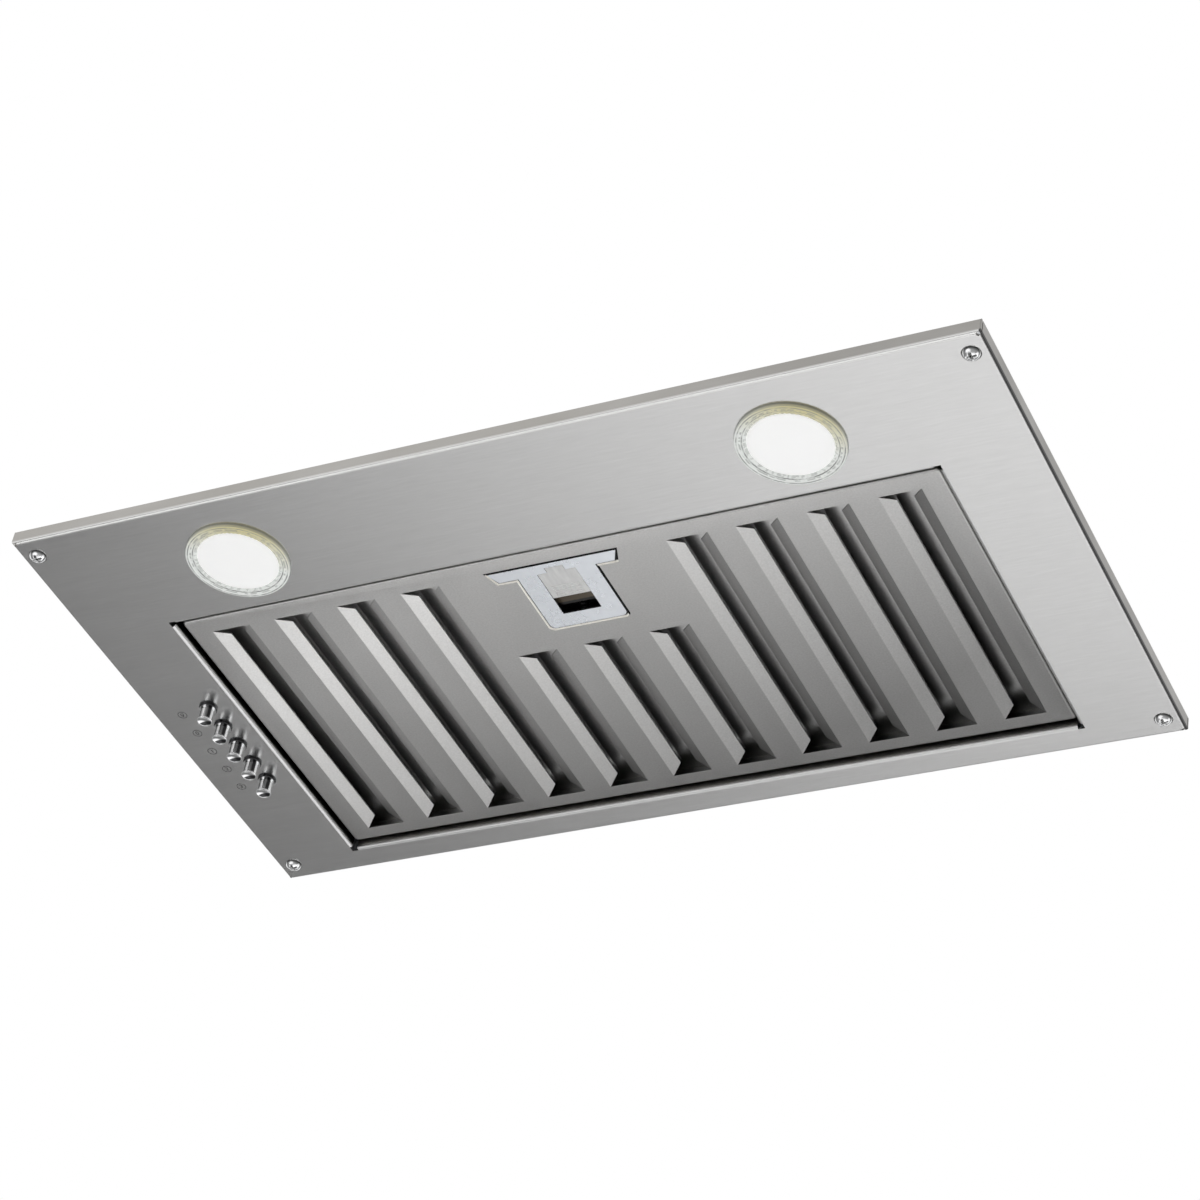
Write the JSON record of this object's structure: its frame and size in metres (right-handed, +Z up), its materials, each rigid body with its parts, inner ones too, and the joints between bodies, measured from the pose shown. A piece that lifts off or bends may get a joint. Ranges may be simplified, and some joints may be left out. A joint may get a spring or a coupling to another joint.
{
  "type": "range hood insert",
  "caption": "Range hood insert: stainless face plate with lamps, push buttons and a latched baffle filter, under a twin blower housing with a damped duct collar.",
  "frame": {"origin": "centre of the four mounting screws, on the face plate's upper side", "axes": "+X to the user's right, -Y towards the user, +Z up into the cabinet"},
  "size_m": [0.5206, 0.2926, 0.2044],
  "materials": {
    "stainless": "brushed along the width",
    "filter_stainless": "satin",
    "galvanised": "zinc coated",
    "chrome": "polished",
    "zinc_plate": "bright zinc plated",
    "clear_glass": "clear, faceted",
    "lamp_lens": "opal white",
    "aluminium": "die cast",
    "board": "white solder mask",
    "black_plastic": "moulded",
    "white_plastic": "moulded",
    "rubber": "matt",
    "cable": "sheath",
    "copper": "varnished copper wire",
    "lamination": "stacked steel",
    "bronze": "sintered"
  },
  "bodies": {
    "housing": {"face_plate": "stainless", "plenum_wrapper": "galvanised", "plenum_end_left": "galvanised", "plenum_end_right": "galvanised", "duct_collar": "galvanised", "scroll_wrap_left": "galvanised", "scroll_outer_side_left": "galvanised", "scroll_inner_side_left": "galvanised", "inlet_ring_left": "galvanised", "scroll_wrap_right": "galvanised", "scroll_outer_side_right": "galvanised", "scroll_inner_side_right": "galvanised", "inlet_ring_right": "galvanised", "control_box": "galvanised", "control_cover": "galvanised", "wiring_cover": "galvanised", "motor_strap": "galvanised", "capacitor_clamp": "galvanised", "latch_strike": "galvanised", "corner_screws": "chrome", "switch_bezels": "chrome", "sheet_screws": "zinc_plate", "flange_nuts": "zinc_plate", "weld_studs": "zinc_plate", "damper_rods": "zinc_plate", "lamp_rim_left": "clear_glass", "lamp_rim_right": "clear_glass", "lamp_lens_left": "lamp_lens", "lamp_lens_right": "lamp_lens", "lamp_body_left": "aluminium", "lamp_body_right": "aluminium", "capacitor": "aluminium", "motor_end_bells": "aluminium", "lamp_led_boards": "board", "switch_block": "black_plastic", "motor_shell": "black_plastic", "lamp_driver": "white_plastic", "terminal_block": "white_plastic", "lead_grommet": "rubber", "motor_lead": "cable", "lamp_leads": "cable", "motor_windings": "copper", "motor_stator": "lamination", "motor_bearings": "bronze"},
    "blower_rotor": {"motor_shaft": "zinc_plate", "motor_rotor": "lamination", "wheel_hub_left": "galvanised", "wheel_hub_right": "galvanised", "wheel_ring_left": "galvanised", "wheel_ring_right": "galvanised", "wheel_blades_left": "galvanised", "wheel_blades_right": "galvanised", "hub_set_screws": "zinc_plate"},
    "damper_front": {"damper_flap_front": "galvanised"},
    "damper_back": {"damper_flap_back": "galvanised"},
    "filter": {"baffle_face": "filter_stainless", "baffle_back": "filter_stainless", "filter_pivot_pins": "zinc_plate", "latch_plate": "zinc_plate", "latch_spring": "zinc_plate"},
    "latch": {"latch_slider": "zinc_plate"},
    "button_light": {"button_light": "chrome"},
    "button_off": {"button_off": "chrome"},
    "button_low": {"button_low": "chrome"},
    "button_medium": {"button_medium": "chrome"},
    "button_high": {"button_high": "chrome"}
  },
  "joints": [
    {"name": "filter_tilt", "type": "hinge", "parent": "housing", "child": "filter", "pos_m": [0, 0.1215, 0.0072], "axis": [1, 0, 0], "range_deg": [0, 80]},
    {"name": "latch_slide", "type": "slide", "parent": "filter", "child": "latch", "axis": [0, 1, 0], "range_m": [0, 0.006], "stiffness_N_per_m": 200, "deforming": ["latch_spring"]},
    {"name": "blower_spin", "type": "hinge", "parent": "housing", "child": "blower_rotor", "pos_m": [0, 0.0329, 0.093], "axis": [1, 0, 0], "continuous": true},
    {"name": "damper_front_swing", "type": "hinge", "parent": "housing", "child": "damper_front", "pos_m": [0, 0.0628, 0.161], "axis": [-1, 0, 0], "range_deg": [0, 75]},
    {"name": "damper_back_swing", "type": "hinge", "parent": "housing", "child": "damper_back", "pos_m": [0, 0.0692, 0.161], "axis": [1, 0, 0], "range_deg": [0, 75]},
    {"name": "button_light_press", "type": "slide", "parent": "housing", "child": "button_light", "axis": [0, 0, 1], "range_m": [0, 0.003], "stiffness_N_per_m": 300},
    {"name": "button_off_press", "type": "slide", "parent": "housing", "child": "button_off", "axis": [0, 0, 1], "range_m": [0, 0.003], "stiffness_N_per_m": 300},
    {"name": "button_low_press", "type": "slide", "parent": "housing", "child": "button_low", "axis": [0, 0, 1], "range_m": [0, 0.003], "stiffness_N_per_m": 300},
    {"name": "button_medium_press", "type": "slide", "parent": "housing", "child": "button_medium", "axis": [0, 0, 1], "range_m": [0, 0.003], "stiffness_N_per_m": 300},
    {"name": "button_high_press", "type": "slide", "parent": "housing", "child": "button_high", "axis": [0, 0, 1], "range_m": [0, 0.003], "stiffness_N_per_m": 300}
  ]
}
